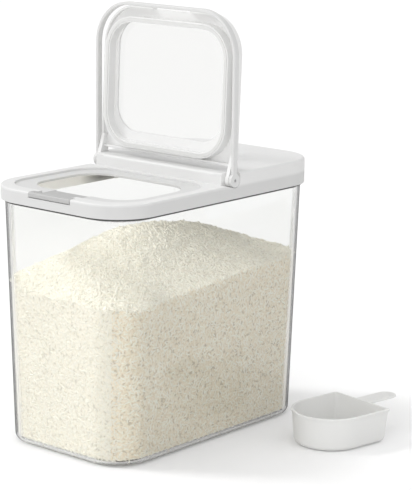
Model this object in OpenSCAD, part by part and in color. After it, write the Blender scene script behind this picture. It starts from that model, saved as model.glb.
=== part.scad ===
// Rice bin: clear drafted tub, white push-on lid with a flip lid, bail handle,
// press latch and a D-shaped measuring scoop. Millimetres, +Z up.
// Origin: centre of the tub's foot, on the surface that it stands on.
// The front, with the latch, faces -Y. The flip lid is modelled raised.

/* [Tub] */
// Width of the mouth, outside the wall
tub_mouth_w = 168.6; // [150:0.2:190]
// Depth of the mouth, outside the wall
tub_mouth_d = 282; // [260:1:310]
// Corner radius of the mouth
tub_mouth_r = 32; // [22:1:38]
// Draft of each side wall from the foot to the rim
tub_draft_w = 4.3; // [2:0.1:9]
// Draft of the front and rear walls from the foot to the rim
tub_draft_d = 3.5; // [2:0.1:9]
// Corner radius of the foot
tub_foot_r = 38; // [24:1:42]
// Height to the top of the rim
tub_h = 241.5; // [220:0.5:270]
// Wall thickness
tub_wall = 1.8; // [1.4:0.1:2.6]
// Thickness of the base
tub_base = 2.6; // [2:0.1:6]
// Rounding between base and wall, outside
tub_edge_r = 7; // [3:0.5:10]
// Thickness of the rim flange
rim_t = 2; // [1.5:0.1:2.5]
// Drop of the turned-down lip below the flange
lip_drop = 2.7; // [1:0.1:4]
// Thickness of the turned-down lip
rim_lip_t = 1.4; // [1:0.1:2]

/* [Rice] */
// Level of the rice at the middle of the front wall
rice_front_z = 152.5; // [60:0.5:170]
// Level of the rice at the rear wall
rice_rear_z = 168; // [60:0.5:175]
// Height of the heap's crest
rice_crest_z = 206; // [180:1:212]
// Distance of the crest in front of the origin
crest_in_front = 33; // [0:1:60]
// How much higher the rice lies at the front left than at the middle
rice_tip = 5.5; // [0:0.5:10]
// Gap between rice and tub wall
rice_gap = 0.3; // [0.1:0.1:1]

/* [Lid] */
// Overhang of the lid past the tub's side walls
lid_over_w = 5.7; // [5:0.1:8]
// Overhang of the lid past the tub's front and rear walls
lid_over_d = 7; // [6:0.1:9]
// Corner radius of the lid
lid_r = 44; // [40:1:48]
// Thickness of the moulding
lid_t = 2.2; // [1.8:0.1:2.6]
// Overlap of the skirt below the rim's top
skirt_lap = 2.5; // [2:0.1:4]
// Height from the skirt's edge to the front deck
deck_rise = 13.5; // [13:0.1:16]
// Height from the front deck to the rear plateau
plateau_rise = 11.5; // [10.5:0.1:14]
// Rounding of the deck's outer edge
deck_edge_r = 1.6; // [1:0.1:2.2]
// Rounding of the plateau's edges
plateau_edge_r = 3; // [2:0.1:4]
// Place of the riser between deck and plateau
riser_y = 1; // [0:0.5:2]
// Thickness of the seal between lid and rim
seal_t = 2; // [1.5:0.1:2.5]
// Depth of the plug wall inside the tub's mouth
plug_drop = 6.2; // [3:0.1:9]
// Thickness of the plug wall
plug_wall = 1.8; // [1.4:0.1:2.4]

/* [Mouth] */
// Ledge that the flip lid seats on, beside the mouth
ledge_side = 14.2; // [12:0.1:20]
// Ledge in front of the mouth
ledge_front = 18.5; // [16:0.1:24]
// Ledge behind the mouth
ledge_rear = 15.5; // [12:0.1:24]
// Corner radius of the mouth
mouth_r = 28; // [15:1:34]
// Depth of the recess that the flip lid seats in
seat_depth = 2.1; // [1.6:0.1:2.6]
// Gap round the flip lid's rim in its recess
seat_gap = 0.8; // [0.5:0.1:1.5]

/* [Hinge] */
// Distance of the hinge axis behind the riser
hinge_back = 11; // [11:0.1:12]
// Height of the hinge axis above the deck
hinge_up = 4; // [3.6:0.1:4.4]
// Radius of the hinge pins
pin_r = 1.5; // [1.2:0.1:2]
// Length of the hinge pins
pin_l = 15.4; // [13:0.1:16]
// Radial clearance of the pivots
pivot_fit = 0.06; // [0.03:0.01:0.1]
// Radius of the pivot bosses
boss_r = 6.6; // [6:0.1:6.8]
// Gap round the bosses in their pockets
pocket_gap = 0.5; // [0.4:0.1:0.8]
// Gap between neighbours along the hinge
side_gap = 0.5; // [0.4:0.1:0.7]

/* [Handle] */
// Thickness of the bail
bail_t = 3.3; // [2.8:0.1:3.6]
// Breadth of the bail
bail_b = 6.7; // [6:0.1:7.2]
// Rounding of the bail's edges
bail_edge_r = 1; // [0.5:0.1:1.3]

/* [Flip lid] */
// Angle past which the raised flip lid can't lean
flip_open = 92.5; // [90:0.5:93]
// Thickness of the skin
skin_t = 2.5; // [2.2:0.1:3]
// Rounding of the skin's edge
flip_edge_r = 1; // [0.5:0.1:1.5]
// Width of the hinge ears
ear_t = 4; // [3:0.1:4.5]
// Gap between the flip lid's skin and the riser
rear_gap = 0.8; // [0.6:0.1:1.2]
// Distance from the flip lid's sides to its seating rim
rim_in_side = 7.2; // [6.5:0.1:12]
// Distance from the free edge to the seating rim
rim_in_front = 10.5; // [9:0.1:14]
// Distance from the riser to the seating rim
rim_in_rear = 5.5; // [5:0.1:9]
// Corner radius of the seating rim
rim_r = 34; // [28:1:36]
// Thickness of the seating rim
flip_rim_t = 5.6; // [4.5:0.1:7]
// Distance from the seating rim's sides to the window
window_in_side = 10; // [9:0.1:20]
// Distance from the front of the seating rim to the window
window_in_front = 3.5; // [3:0.1:10]
// Distance from the rear of the seating rim to the window
window_in_rear = 15.5; // [9:0.1:24]
// Corner radius of the window
window_r = 26; // [18:1:30]
// Thickness of the window pane
pane_t = 2; // [1.5:0.1:2.2]
// Overlap of the pane on its rebate
pane_lap = 2.5; // [2:0.1:3]
// Width of the finger notch in the free edge
notch_w = 48; // [40:1:52]
// Depth of the finger notch
notch_d = 2; // [1:0.1:3]

/* [Latch] */
// Width of the latch's bar
latch_w = 53; // [48:1:58]
// Front-to-back size of the bar
latch_bar_d = 6; // [5:0.1:6.5]
// Height of the bar
latch_bar_h = 5; // [4:0.1:5.2]
// Width of the latch's tongue
tongue_w = 44; // [38:1:46]
// Thickness of the tongue
tongue_t = 1.6; // [1.2:0.1:1.8]
// Travel of the latch
latch_travel = 2; // [1:0.1:2.4]
// Gap round the latch
latch_gap = 0.4; // [0.3:0.05:0.6]
// Diameter of the return springs
spring_d = 3; // [2.4:0.1:3.2]
// Wire of the return springs
spring_wire = 0.45; // [0.35:0.05:0.6]
// Length of the return springs
spring_l = 7; // [6:0.1:8]

/* [Scoop] */
// Width of the scoop
scoop_w = 75; // [60:1:84]
// Length of the bowl
scoop_l = 81; // [64:1:90]
// Depth of the bowl
scoop_h = 33.5; // [26:0.5:44]
// Wall of the scoop
scoop_wall = 1.6; // [1.2:0.1:2]
// Thickness of the bowl's floor
scoop_floor = 1.8; // [1.2:0.1:2.4]
// Rounding between the bowl's floor and wall, outside
scoop_edge_r = 5; // [2:0.5:8]
// Draft of the bowl, each side
scoop_draft = 2.6; // [2:0.1:5]
// Width of the grip
grip_w = 19; // [15:1:24]
// Length of the grip
grip_l = 43; // [30:1:50]
// Thickness of the grip
grip_t = 2.2; // [1.6:0.1:3]
// Place of the scoop to the right of the origin
scoop_x = 165; // [150:1:200]
// Place of the scoop behind the origin
scoop_y = 75; // [40:1:120]
// Turn of the scoop's grip from +X
scoop_turn = 81; // [-90:1:90]

/* [Hidden] */
$fn = 64;
eps = 0.01;
slice = 0.02;
core_in = 0.3;
through = 40;
hull_fn = 32;
edge_steps = 3;
heap_rings = 5;
heap_arc = 5;
heap_side = 4;
heap_end = 9;
crest_round = 0.35;

// Lid, from the tub's mouth
lid_w = tub_mouth_w + 2 * lid_over_w;
lid_d = tub_mouth_d + 2 * lid_over_d;

// Levels of the lid, from the tub upwards
skirt_z = tub_h - skirt_lap;
deck_z = skirt_z + deck_rise;
plateau_z = deck_z + plateau_rise;
seat_z = deck_z - seat_depth;
liner_z = tub_h + seal_t;
liner_t = 2;
seat_t = 2;
seat_under_z = seat_z - seat_t;
plug_z = tub_h - plug_drop;
contact_gap = 0.05;

// Tub
tub_foot_w = tub_mouth_w - 2 * tub_draft_w;
tub_foot_d = tub_mouth_d - 2 * tub_draft_d;
skirt_gap = 0.5;
rim_w_out = lid_w - 2 * lid_t - 2 * skirt_gap;
rim_d_out = lid_d - 2 * lid_t - 2 * skirt_gap;
rim_r_out = lid_r - lid_t - skirt_gap;
mouth_in_w = tub_mouth_w - 2 * tub_wall;
mouth_in_d = tub_mouth_d - 2 * tub_wall;
mouth_in_r = tub_mouth_r - tub_wall;

// Hinge axis, along X
hinge_y = riser_y + hinge_back;
hinge_z = deck_z + hinge_up;
pocket_r = boss_r + pocket_gap;
bail_x = lid_w / 2 - bail_t;
ear_x = bail_x - side_gap;
pocket_x = ear_x - ear_t - side_gap;
pin_out = lid_w / 2 - 1;
lug_x = pin_out - pin_l - 1;
lug_wall = 2.2;

// Bail: it lies flush with the lid's outline when it is folded
bail_reach = hinge_y + lid_d / 2;
bail_r = lid_r - 1;

// Flip lid, written closed and then turned up about the hinge
flip_gap = 0.7;
flip_front = -lid_d / 2 + bail_t + flip_gap;
flip_rear = riser_y - rear_gap;
flip_w = 2 * ear_x;
flip_r = bail_r - bail_t - flip_gap;
flip_rear_r = 5;
flip_top = plateau_z;
skin_z = flip_top - skin_t;
brow_drop = 4;
brow_z = skin_z - brow_drop;
brow_t = 2;
brow_back = 1.2;
ear_root = 14;
rim_w = flip_w - 2 * rim_in_side;
rim_front = flip_front + rim_in_front;
rim_rear = riser_y - rim_in_rear;
rim_end_gap = 0.8;
rim_end_z = seat_z + rim_end_gap;
seal_end_gap = 0.2;
groove_w = 3;
groove_d = 1.4;
pane_z = flip_top - pane_t;
lip_t = 1.6;
lip_z = pane_z - lip_t;
window_w = rim_w - 2 * window_in_side;
window_front = rim_front + window_in_front;
window_rear = rim_rear - window_in_rear;

// Filling mouth
mouth_w = rim_w - 2 * ledge_side;
mouth_front = rim_front + ledge_front;
mouth_rear = rim_rear - ledge_rear;

// Latch
latch_proud = 0.6;
latch_front = -lid_d / 2 - latch_proud;
latch_top = deck_z + 0.1;
latch_bar_rear = latch_front + latch_bar_d;
tongue_back = 1;
tongue_rear = mouth_front - latch_travel - tongue_back;
tongue_top = seat_z - 0.1;
tongue_root = 2;
slot_in = 3;
slot_d = 1.6;
slot_deep = 0.8;
tray_floor = tongue_top - tongue_t - latch_gap;
tray_t = 1.8;
spring_in = 0.4;
spring_drop = 0.6;
spring_x = latch_w / 2 - spring_d / 2 - spring_in;
spring_z = latch_top - latch_bar_h / 2 - spring_drop;

// Colours
clear = [0.86, 0.89, 0.90, 0.35];
white = [0.93, 0.93, 0.92];
grey = [0.70, 0.70, 0.68];
silicone = [0.88, 0.88, 0.86];
steel = [0.45, 0.45, 0.46];
ivory = [0.94, 0.92, 0.84];
warm_grey = [0.86, 0.86, 0.84];

// ---- outlines --------------------------------------------------------------

// Rectangle from low to high with front radius rf and rear radius rr
module plate2d(lo, hi, rf, rr) {
    translate([lo[0], lo[1] + rf]) square([hi[0] - lo[0], hi[1] - lo[1] - rf - rr]);
    translate([lo[0] + rf, lo[1]]) square([hi[0] - lo[0] - 2 * rf, rf + eps]);
    translate([lo[0] + rr, hi[1] - rr - eps]) square([hi[0] - lo[0] - 2 * rr, rr + eps]);
    for (x = [lo[0] + rf, hi[0] - rf]) translate([x, lo[1] + rf]) circle(rf);
    for (x = [lo[0] + rr, hi[0] - rr]) translate([x, hi[1] - rr]) circle(rr);
}

// Centred rounded rectangle
module rounded2d(w, d, r) {
    plate2d([-w / 2, -d / 2], [w / 2, d / 2], r, r);
}

// Centred in X, from y0 to y1, one radius
module band2d(w, y0, y1, r) {
    plate2d([-w / 2, y0], [w / 2, y1], r, r);
}

// Puts an outline of the YZ plane between x0 and x1
module along_x(x0, x1) {
    translate([x0, 0, 0]) rotate([90, 0, 90]) linear_extrude(x1 - x0) children();
}

module both_sides() {
    for (side = [0, 1]) mirror([side, 0, 0]) children();
}

// Cross-section of an edge: from 0 to l outwards, from 0 to h upwards, outer top corner rounded by e
module edge2d(l, h, e) {
    square([l, h - e]);
    square([l - e, h]);
    intersection() {
        translate([l - e, h - e]) circle(e, $fn = 32);
        square([l, h]);
    }
}

// Straight stretch of edge, outwards along +X, centred on Y
module edge_run(l, h, e, run) {
    translate([0, run / 2, 0]) rotate([90, 0, 0]) linear_extrude(run) edge2d(l, h, e);
}

module edge_corner(r, h, e, turn) {
    rotate([0, 0, turn]) rotate_extrude(angle = 90, $fn = 96) edge2d(r, h, e);
}

// Block from z0 to z1 with rounded corners rf in front and rr behind, and a rounded upper edge e
module soft_block(lo, hi, rf, rr, z0, z1, e) {
    h = z1 - z0;
    mid_x = (lo[0] + hi[0]) / 2;
    translate([0, 0, z0]) {
        linear_extrude(h - core_in)
            plate2d([lo[0] + e, lo[1] + e], [hi[0] - e, hi[1] - e], rf - e, rr - e);
        for (side = [0, 1]) translate([mid_x, (lo[1] + rf + hi[1] - rr) / 2, 0]) mirror([side, 0, 0])
            edge_run((hi[0] - lo[0]) / 2, h, e, hi[1] - lo[1] - rf - rr);
        translate([mid_x, hi[1] - rr, 0]) rotate([0, 0, 90]) edge_run(rr, h, e, hi[0] - lo[0] - 2 * rr);
        translate([mid_x, lo[1] + rf, 0]) rotate([0, 0, -90]) edge_run(rf, h, e, hi[0] - lo[0] - 2 * rf);
        translate([hi[0] - rr, hi[1] - rr, 0]) edge_corner(rr, h, e, 0);
        translate([lo[0] + rr, hi[1] - rr, 0]) edge_corner(rr, h, e, 90);
        translate([lo[0] + rf, lo[1] + rf, 0]) edge_corner(rf, h, e, 180);
        translate([hi[0] - rf, lo[1] + rf, 0]) edge_corner(rf, h, e, 270);
    }
}

// ---- tub -------------------------------------------------------------------

// Outline of the tub's wall at height z, inset by the wall
function tub_at(z, foot, mouth) = foot + (mouth - foot) * z / tub_h;

module tub_slice(z, inset) {
    translate([0, 0, z]) linear_extrude(slice)
        rounded2d(tub_at(z, tub_foot_w, tub_mouth_w) - 2 * inset,
                  tub_at(z, tub_foot_d, tub_mouth_d) - 2 * inset,
                  tub_at(z, tub_foot_r, tub_mouth_r) - inset);
}

// Drafted block with a rounded lower edge, from z0 to z1
module tub_block(z0, z1, inset, edge_r) {
    hull() {
        for (i = [0 : edge_steps]) {
            a = 90 * i / edge_steps;
            tub_slice(z0 + edge_r * (1 - sin(a)), inset + edge_r * (1 - cos(a)), $fn = hull_fn);
        }
        tub_slice(z1 - slice, inset, $fn = hull_fn);
    }
}

module tub() {
    color(clear) difference() {
        union() {
            tub_block(0, tub_h, 0, tub_edge_r);
            translate([0, 0, tub_h - rim_t]) linear_extrude(rim_t)
                rounded2d(rim_w_out, rim_d_out, rim_r_out);
            translate([0, 0, tub_h - rim_t - lip_drop]) linear_extrude(lip_drop + eps) difference() {
                rounded2d(rim_w_out, rim_d_out, rim_r_out);
                rounded2d(rim_w_out - 2 * rim_lip_t, rim_d_out - 2 * rim_lip_t, rim_r_out - rim_lip_t);
            }
        }
        tub_block(tub_base, tub_h + 1, tub_wall, tub_edge_r - 1);
    }
}

// Level that the rice would have at the wall beside a point
function rice_level(x, y, half_w, half_d) =
    let (along = (y + half_d) / (2 * half_d), across = x / half_w, toward = sin(90 * along))
    rice_front_z + (rice_rear_z - rice_front_z) * toward - rice_tip * across * (1 - toward);

// Height of the heap along the tub's middle
function rice_ridge(y, half_d) =
    y < -crest_in_front
        ? rice_front_z + (rice_crest_z - rice_front_z)
            * pow(sin(90 * max(0, y + half_d) / (half_d - crest_in_front)), 0.65)
        : rice_crest_z - (rice_crest_z - rice_rear_z)
            * pow((y + crest_in_front) / (half_d + crest_in_front), 2);

// Height of the heap over a point
function heap_z(x, y, half_w, half_d) =
    let (wall = rice_level(x, y, half_w, half_d), v = min(1, abs(x) / half_w), k = crest_round,
         fall = (norm([v, k]) - k) / (norm([1, k]) - k))
    wall + (rice_ridge(y, half_d) - wall) * (1 - fall);

// Points of the tub's outline at height z, inset by the wall, anticlockwise
function tub_ring(z, inset) =
    let (w = tub_at(z, tub_foot_w, tub_mouth_w) / 2 - inset,
         d = tub_at(z, tub_foot_d, tub_mouth_d) / 2 - inset,
         r = tub_at(z, tub_foot_r, tub_mouth_r) - inset,
         x = w - r,
         y = d - r)
    concat(
        [for (i = [0 : heap_arc]) let (a = 90 * i / heap_arc) [x + r * cos(a), y + r * sin(a)]],
        [for (i = [1 : heap_side - 1]) [x - 2 * x * i / heap_side, d]],
        [for (i = [0 : heap_arc]) let (a = 90 + 90 * i / heap_arc) [-x + r * cos(a), y + r * sin(a)]],
        [for (i = [1 : heap_end - 1]) [-w, y - 2 * y * i / heap_end]],
        [for (i = [0 : heap_arc]) let (a = 180 + 90 * i / heap_arc) [-x + r * cos(a), -y + r * sin(a)]],
        [for (i = [1 : heap_side - 1]) [-x + 2 * x * i / heap_side, -d]],
        [for (i = [0 : heap_arc]) let (a = 270 + 90 * i / heap_arc) [x + r * cos(a), -y + r * sin(a)]],
        [for (i = [1 : heap_end - 1]) [w, -y + 2 * y * i / heap_end]]
    );

// Heap of rice: rings up the wall and in to the crest
module rice_fill() {
    inset = tub_wall + rice_gap;
    low = tub_ring(rice_front_z, inset);
    half_w = tub_at(rice_front_z, tub_foot_w, tub_mouth_w) / 2 - inset;
    half_d = tub_at(rice_front_z, tub_foot_d, tub_mouth_d) / 2 - inset;
    n = len(low);
    foot_z = tub_base + rice_gap;
    turn = tub_edge_r - 1 - rice_gap;
    top = [for (i = [0 : n - 1])
        let (z = heap_z(low[i][0], low[i][1], half_w, half_d), p = tub_ring(z, inset)[i]) [p[0], p[1], z]];
    points = concat(
        [for (i = [edge_steps : -1 : 0])
            let (a = 90 * i / edge_steps, z = foot_z + turn * (1 - sin(a)))
            for (p = tub_ring(z, inset + turn * (1 - cos(a)))) [p[0], p[1], z]],
        top,
        [for (k = [1 : heap_rings - 1], p = top) let (t = 1 - k / heap_rings)
            [p[0] * t, p[1] * t, heap_z(p[0] * t, p[1] * t, half_w, half_d)]],
        [[0, 0, heap_z(0, 0, half_w, half_d)], [0, 0, foot_z]]
    );
    rows = heap_rings + edge_steps + 1;
    last = n * rows;
    faces = concat(
        [for (i = [0 : n - 1]) [i, (i + 1) % n, last + 1]],
        [for (r = [0 : rows - 2], i = [0 : n - 1]) [r * n + i, (r + 1) * n + i, r * n + (i + 1) % n]],
        [for (r = [0 : rows - 2], i = [0 : n - 1])
            [r * n + (i + 1) % n, (r + 1) * n + i, (r + 1) * n + (i + 1) % n]],
        [for (i = [0 : n - 1]) [(rows - 1) * n + i, last, (rows - 1) * n + (i + 1) % n]]
    );
    color(ivory) polyhedron(points, faces, convexity = 4);
}

// ---- lid -------------------------------------------------------------------

// Space that the pivot bosses and arms turn in, seen along X
module pocket2d() {
    translate([hinge_y, hinge_z]) circle(pocket_r);
    polygon([
        [riser_y - 1, deck_z], [hinge_y, hinge_z - pocket_r], [hinge_y + pocket_r, hinge_z],
        [hinge_y + pocket_r, plateau_z + 1], [riser_y - 1, plateau_z + 1]
    ]);
}

// Solid corner of the riser that holds a hinge pin
module hinge_lug() {
    translate([lug_x, riser_y + eps, hinge_z - pocket_r - lug_wall])
        cube([lid_w / 2 - lid_t / 2 - lug_x, hinge_back + pocket_r + lug_wall,
              plateau_z - lid_t / 2 - hinge_z + pocket_r + lug_wall]);
}

// Channel in the deck and its seat for the latch
module latch_channel() {
    bar_w = latch_w + 2 * latch_gap;
    bar_rear = latch_bar_rear + latch_travel + latch_gap;
    translate([-bar_w / 2, latch_front - 1, latch_top - latch_bar_h - latch_gap])
        cube([bar_w, bar_rear - latch_front + 1, through]);
    translate([-tongue_w / 2 - latch_gap, latch_front, tray_floor])
        cube([tongue_w + 2 * latch_gap, mouth_front - latch_front + 2, through]);
    for (x = [-spring_x, spring_x])
        translate([x, bar_rear - eps, spring_z]) rotate([-90, 0, 0])
            cylinder(r = spring_d / 2 + 0.3, h = latch_bar_rear + spring_l - bar_rear + 2 * eps);
}

module latch_tray() {
    tray_w = latch_w + 2 * latch_gap + 2 * lug_wall;
    translate([-tray_w / 2, -lid_d / 2 + lid_t / 2, tray_floor - tray_t])
        cube([tray_w, mouth_front + lid_d / 2 - lid_t / 2, seat_z - tray_floor + tray_t - eps]);
}

module lid_shell() {
    seat_w = rim_w + 2 * seat_gap;
    color(white) difference() {
        union() {
            difference() {
                union() {
                    soft_block([-lid_w / 2, -lid_d / 2], [lid_w / 2, lid_d / 2], lid_r, lid_r,
                               skirt_z, deck_z, deck_edge_r);
                    soft_block([-lid_w / 2, riser_y], [lid_w / 2, lid_d / 2], plateau_edge_r + 1, lid_r,
                               skirt_z, plateau_z, plateau_edge_r);
                }
                translate([0, 0, skirt_z - 1]) linear_extrude(seat_under_z - skirt_z + 1)
                    rounded2d(lid_w - 2 * lid_t, lid_d - 2 * lid_t, lid_r - lid_t);
                translate([0, 0, seat_under_z - eps])
                    linear_extrude(plateau_z - lid_t - seat_under_z) intersection() {
                        rounded2d(lid_w - 2 * lid_t, lid_d - 2 * lid_t, lid_r - lid_t);
                        translate([-lid_w / 2, riser_y + lid_t]) square([lid_w, lid_d / 2]);
                    }
            }
            both_sides() hinge_lug();
            latch_tray();
        }
        translate([0, 0, seat_z]) linear_extrude(through)
            band2d(seat_w, rim_front - seat_gap, rim_rear + seat_gap, rim_r + seat_gap);
        translate([0, 0, skirt_z - 1]) linear_extrude(through)
            band2d(mouth_w, mouth_front, mouth_rear, mouth_r);
        both_sides() {
            along_x(pocket_x, lid_w) pocket2d();
            along_x(lug_x - 1, lid_w) translate([hinge_y, hinge_z]) circle(pin_r + 0.02);
        }
        latch_channel();
    }
}

// Outline between the plug wall's faces; inset 0 is its outer face
module plug2d(inset) {
    plug_gap = 0.8;
    rounded2d(mouth_in_w - 2 * plug_gap - 2 * inset, mouth_in_d - 2 * plug_gap - 2 * inset,
              mouth_in_r - plug_gap - inset);
}

// Ring that holds the seal on the rim, with a plug wall that centres the lid in the tub
module lid_liner() {
    liner_gap = 0.3;
    front_cut = riser_y - 1;
    color(white) difference() {
        union() {
            translate([0, 0, liner_z]) linear_extrude(liner_t)
                rounded2d(lid_w - 2 * lid_t - 2 * liner_gap, lid_d - 2 * lid_t - 2 * liner_gap,
                          lid_r - lid_t - liner_gap);
            translate([0, 0, plug_z]) linear_extrude(seat_under_z - plug_z) plug2d(0);
        }
        translate([0, 0, plug_z - 1]) linear_extrude(through) plug2d(plug_wall);
        translate([-lid_w / 2, front_cut, liner_z + liner_t]) cube([lid_w, lid_d, through]);
        latch_tray_room();
    }
}

// Room in the plug wall for the latch's tray
module latch_tray_room() {
    side_room = 0.3;
    tray_w = latch_w + 2 * latch_gap + 2 * lug_wall + 2 * side_room;
    translate([-tray_w / 2, -lid_d / 2, tray_floor - tray_t - contact_gap])
        cube([tray_w, lid_d / 4, through]);
}

module lid_gasket() {
    inner_gap = 0.6;
    outer_gap = 0.7;
    color(silicone) translate([0, 0, tub_h + contact_gap])
        linear_extrude(seal_t - contact_gap) difference() {
            rounded2d(lid_w - 2 * lid_t - 2 * outer_gap, lid_d - 2 * lid_t - 2 * outer_gap,
                      lid_r - lid_t - outer_gap);
            rounded2d(mouth_in_w - 2 * inner_gap, mouth_in_d - 2 * inner_gap, mouth_in_r - inner_gap);
        }
}

module hinge_pin() {
    along_x(pin_out - pin_l, pin_out) translate([hinge_y, hinge_z]) circle(pin_r);
}

module hinge_pin_left() {
    color(steel) mirror([1, 0, 0]) hinge_pin();
}

module hinge_pin_right() {
    color(steel) hinge_pin();
}

// ---- handle ----------------------------------------------------------------

// Section of the bail, outwards along +X from its inner face, centred on Y
module bail2d() {
    translate([0, -bail_b / 2]) plate2d([0, 0], [bail_t, bail_b], bail_edge_r, bail_edge_r, $fn = 24);
}

module handle() {
    arm = bail_reach - bail_r;
    color(white) difference() {
        union() {
            translate([0, hinge_y, hinge_z]) {
                both_sides() {
                    translate([bail_x, 0, 0]) linear_extrude(arm) bail2d();
                    translate([lid_w / 2 - bail_r, 0, arm]) rotate([90, 0, 0])
                        rotate_extrude(angle = 90, $fn = 128) translate([bail_r - bail_t, 0]) bail2d();
                }
                translate([lid_w / 2 - bail_r, 0, bail_reach - bail_t]) rotate([0, -90, 0])
                    linear_extrude(lid_w - 2 * bail_r) bail2d();
            }
            both_sides() along_x(bail_x, lid_w / 2) translate([hinge_y, hinge_z]) circle(boss_r);
        }
        both_sides() along_x(bail_x - 1, lid_w) translate([hinge_y, hinge_z]) circle(pin_r + pivot_fit);
    }
}

// ---- flip lid --------------------------------------------------------------

// Turns what is written closed up about the hinge
module raised() {
    translate([0, hinge_y, hinge_z]) rotate([-flip_open, 0, 0]) translate([0, -hinge_y, -hinge_z]) children();
}

// Hinge ear, seen along X
module ear2d() {
    translate([hinge_y, hinge_z]) circle(boss_r);
    polygon([
        [flip_rear - ear_root, brow_z], [flip_rear - ear_root, skin_z + eps],
        [flip_rear, hinge_z + boss_r], [hinge_y, hinge_z + boss_r], [hinge_y, hinge_z - boss_r],
        [flip_rear, deck_z + rear_gap]
    ]);
}

module flip_lid_frame() {
    rear_wall = flip_rear - brow_back;
    color(white) raised() difference() {
        union() {
            // Skin
            soft_block([-flip_w / 2, flip_front], [flip_w / 2, flip_rear], flip_r, flip_rear_r,
                       skin_z, flip_top, flip_edge_r);
            // Brow that stiffens the outer edge
            translate([0, 0, brow_z]) linear_extrude(skin_z - brow_z + eps) difference() {
                plate2d([-flip_w / 2, flip_front], [flip_w / 2, rear_wall], flip_r, flip_rear_r, $fn = 96);
                plate2d([-flip_w / 2 + brow_t, flip_front + brow_t], [flip_w / 2 - brow_t, rear_wall - brow_t],
                        flip_r - brow_t, flip_rear_r - brow_t, $fn = 96);
            }
            // Seating rim
            translate([0, 0, rim_end_z]) linear_extrude(skin_z - rim_end_z + eps)
                band2d(rim_w, rim_front, rim_rear, rim_r, $fn = 96);
            both_sides() along_x(ear_x - ear_t, ear_x) ear2d();
        }
        // Hollow inside the rim, up to the lip that carries the pane
        translate([0, 0, rim_end_z - 1]) linear_extrude(lip_z - rim_end_z + 1)
            band2d(rim_w - 2 * flip_rim_t, rim_front + flip_rim_t, rim_rear - flip_rim_t,
                   rim_r - flip_rim_t, $fn = 96);
        translate([0, 0, lip_z - 1]) linear_extrude(through)
            band2d(window_w, window_front, window_rear, window_r, $fn = 96);
        // Rebate for the pane
        translate([0, 0, pane_z]) linear_extrude(through) pane2d(0.1);
        // Groove for the seal
        translate([0, 0, rim_end_z - 1]) linear_extrude(groove_d + 1) seal2d(0);
        // Finger notch
        translate([-notch_w / 2, flip_front - 1, brow_z - 1]) cube([notch_w, notch_d + 1, through]);
        both_sides() along_x(pocket_x, lid_w) translate([hinge_y, hinge_z]) circle(pin_r + pivot_fit);
    }
}

module pane2d(gap) {
    band2d(window_w + 2 * (pane_lap + gap), window_front - pane_lap - gap, window_rear + pane_lap + gap,
           window_r + pane_lap + gap, $fn = 96);
}

module seal2d(gap) {
    inset = (flip_rim_t - groove_w) / 2 + gap;
    difference() {
        band2d(rim_w - 2 * inset, rim_front + inset, rim_rear - inset, rim_r - inset, $fn = 96);
        band2d(rim_w - 2 * flip_rim_t + 2 * inset, rim_front + flip_rim_t - inset,
               rim_rear - flip_rim_t + inset, rim_r - flip_rim_t + inset, $fn = 96);
    }
}

module flip_lid_window() {
    color(clear) raised() translate([0, 0, pane_z]) linear_extrude(pane_t) pane2d(0);
}

module flip_lid_gasket() {
    color(silicone) raised() translate([0, 0, seat_z + seal_end_gap])
        linear_extrude(rim_end_gap + groove_d - seal_end_gap) seal2d(contact_gap);
}

// ---- latch -----------------------------------------------------------------

module latch_button() {
    nose_r = 1.6;
    color(grey) difference() {
        union() {
            translate([-latch_w / 2, latch_front, latch_top - latch_bar_h]) rotate([90, 0, 90])
                linear_extrude(latch_w)
                    plate2d([0, 0], [latch_bar_d, latch_bar_h], nose_r, nose_r, $fn = 24);
            translate([-tongue_w / 2, latch_bar_rear - tongue_root, tongue_top - tongue_t])
                cube([tongue_w, tongue_rear - latch_bar_rear + tongue_root, tongue_t]);
        }
        translate([-tongue_w / 2 + slot_in, latch_bar_rear - slot_d / 2, tongue_top - slot_deep])
            cube([tongue_w - 2 * slot_in, slot_d, latch_bar_h]);
    }
}

// Helical compression spring along +Y, as one swept tube
module spring(turns, d, wire, l) {
    sides = 6;
    rings = turns * 12;
    r = (d - wire) / 2;
    pitch = (l - wire) / turns;
    points = [
        for (i = [0 : rings]) let (a = 360 * i / 12, c = [r * cos(a), wire / 2 + pitch * i / 12, r * sin(a)])
            for (k = [0 : sides - 1]) let (b = 360 * k / sides)
                c + wire / 2 * [cos(b) * cos(a), sin(b), cos(b) * sin(a)]
    ];
    faces = concat(
        [[for (k = [0 : sides - 1]) k]],
        [for (i = [0 : rings - 1], k = [0 : sides - 1])
            [i * sides + k, (i + 1) * sides + k, (i + 1) * sides + (k + 1) % sides,
             i * sides + (k + 1) % sides]],
        [[for (k = [sides - 1 : -1 : 0]) rings * sides + k]]
    );
    polyhedron(points, faces, convexity = 8);
}

module latch_spring(x) {
    color(steel) translate([x, latch_bar_rear + contact_gap, spring_z])
        spring(6, spring_d, spring_wire, spring_l - 2 * contact_gap);
}

module latch_spring_left() {
    latch_spring(-spring_x);
}

module latch_spring_right() {
    latch_spring(spring_x);
}

// ---- scoop -----------------------------------------------------------------

// D outline: flat back at +X, half round at -X
module scoop2d(inset) {
    r = scoop_w / 2 - inset;
    x_round = -scoop_l / 2 + scoop_w / 2;
    corner_r = 3;
    translate([x_round, 0]) circle(r, $fn = 64);
    translate([x_round, -r]) square([scoop_l / 2 - inset - x_round - corner_r, 2 * r]);
    translate([x_round, -r + corner_r])
        square([scoop_l / 2 - inset - x_round, 2 * (r - corner_r)]);
    for (y = [-r + corner_r, r - corner_r])
        translate([scoop_l / 2 - inset - corner_r, y]) circle(corner_r, $fn = 24);
}

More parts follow.
